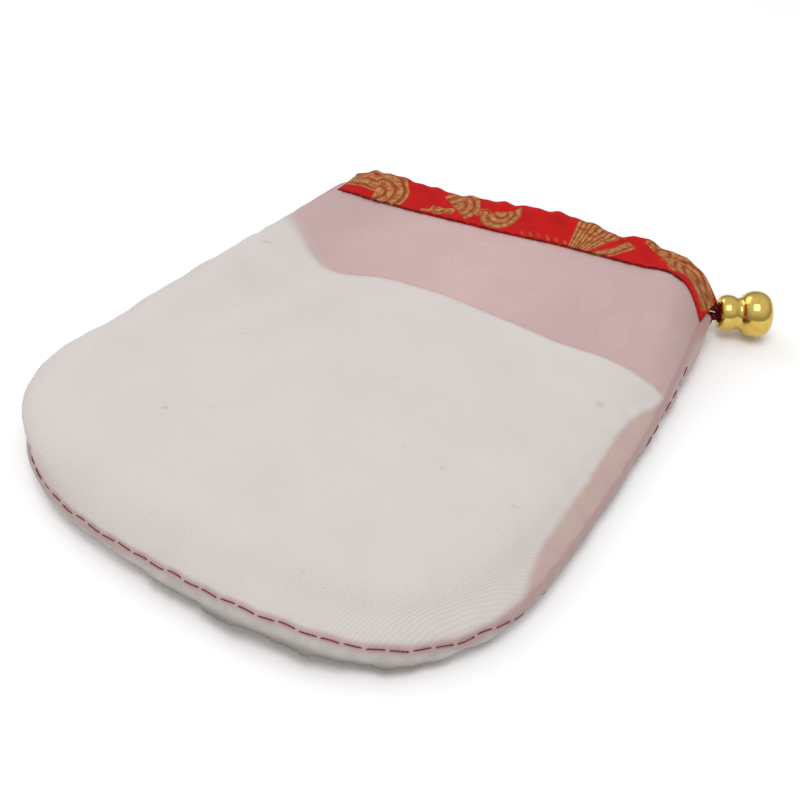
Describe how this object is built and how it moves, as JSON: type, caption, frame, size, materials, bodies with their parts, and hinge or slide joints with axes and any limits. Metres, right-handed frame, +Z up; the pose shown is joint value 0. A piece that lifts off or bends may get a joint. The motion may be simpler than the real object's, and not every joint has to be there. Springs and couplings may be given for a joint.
{
  "type": "drawstring pouch",
  "caption": "Small quilted drawstring pouch turned inside out, with satin lining outside, a brocade casing at the mouth and a gourd-shaped bead on the cord.",
  "frame": {"origin": "on the table, under the middle of the pouch's sewn body", "axes": "+Z up, +Y from the sewn bottom towards the mouth, +X along the mouth towards the bead"},
  "size_m": [0.0956, 0.1121, 0.0142],
  "materials": {
    "satin_lining": "off-white satin with a low sheen, the red brocade showing faintly through where there is no wadding",
    "cotton_wadding": "white matt wadding",
    "red_brocade": "red satin-faced brocade with woven gold scrolls and shells",
    "red_thread": "dark red sewing thread",
    "red_cord": "dark red braided cord",
    "polished_brass": "polished"
  },
  "bodies": {
    "pouch": {"upper_lining": "satin_lining", "lower_lining": "satin_lining", "upper_wadding": "cotton_wadding", "lower_wadding": "cotton_wadding", "upper_brocade": "red_brocade", "lower_brocade": "red_brocade", "upper_casing_stitching": "red_thread", "lower_casing_stitching": "red_thread", "seam_needle_thread": "red_thread", "seam_bobbin_thread": "red_thread", "drawcord": "red_cord"},
    "bead": {"gourd_bead": "polished_brass"}
  },
  "joints": [
    {"name": "cord_pull", "type": "slide", "parent": "pouch", "child": "bead", "axis": [1, 0, 0], "range_m": [0, 0.024], "deforming": ["drawcord"]}
  ]
}
